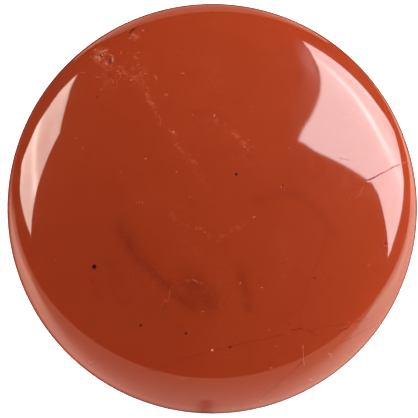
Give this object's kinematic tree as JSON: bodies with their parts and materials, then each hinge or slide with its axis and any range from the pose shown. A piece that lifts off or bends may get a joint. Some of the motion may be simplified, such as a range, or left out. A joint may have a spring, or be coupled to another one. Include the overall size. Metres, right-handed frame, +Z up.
{
  "type": "polished jasper stone",
  "caption": "Polished round red jasper stone with a low domed face, a turned-down rim, small natural pits and a flat back to rest on.",
  "frame": {"origin": "middle of the flat back, which is the lowest face", "axes": "+Z up, from the flat back out through the middle of the domed face; the stone is turned about Z, with the rough patch at -X +Y"},
  "size_m": [0.04, 0.04, 0.007],
  "materials": {
    "red_jasper": "high polish, opaque brick red with darker and paler mottling"
  },
  "bodies": {
    "root": {"jasper_stone": "red_jasper"}
  },
  "joints": []
}
